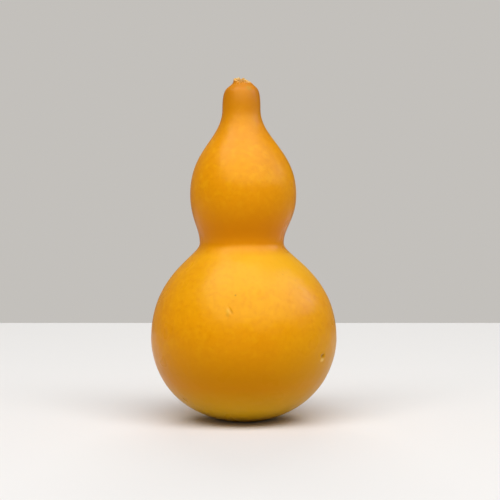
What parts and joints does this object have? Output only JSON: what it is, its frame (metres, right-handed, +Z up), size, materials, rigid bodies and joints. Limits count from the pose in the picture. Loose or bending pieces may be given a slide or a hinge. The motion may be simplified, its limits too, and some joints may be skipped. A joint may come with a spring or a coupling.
{
  "type": "dried bottle gourd",
  "caption": "Small dried bottle gourd with a round belly, a narrow waist, a smaller upper lobe and a short neck with a torn stem stub. It stands upright as an ornament.",
  "frame": {"origin": "centre of the small flat spot under the belly that the gourd stands on", "axes": "+Z up along the gourd, from belly to stem stub; -Y towards the front, the side that the picture shows; +X to the right seen from the front"},
  "size_m": [0.0544, 0.0536, 0.1],
  "materials": {
    "rind": "satin"
  },
  "bodies": {
    "root": {"gourd": "rind"}
  },
  "joints": []
}
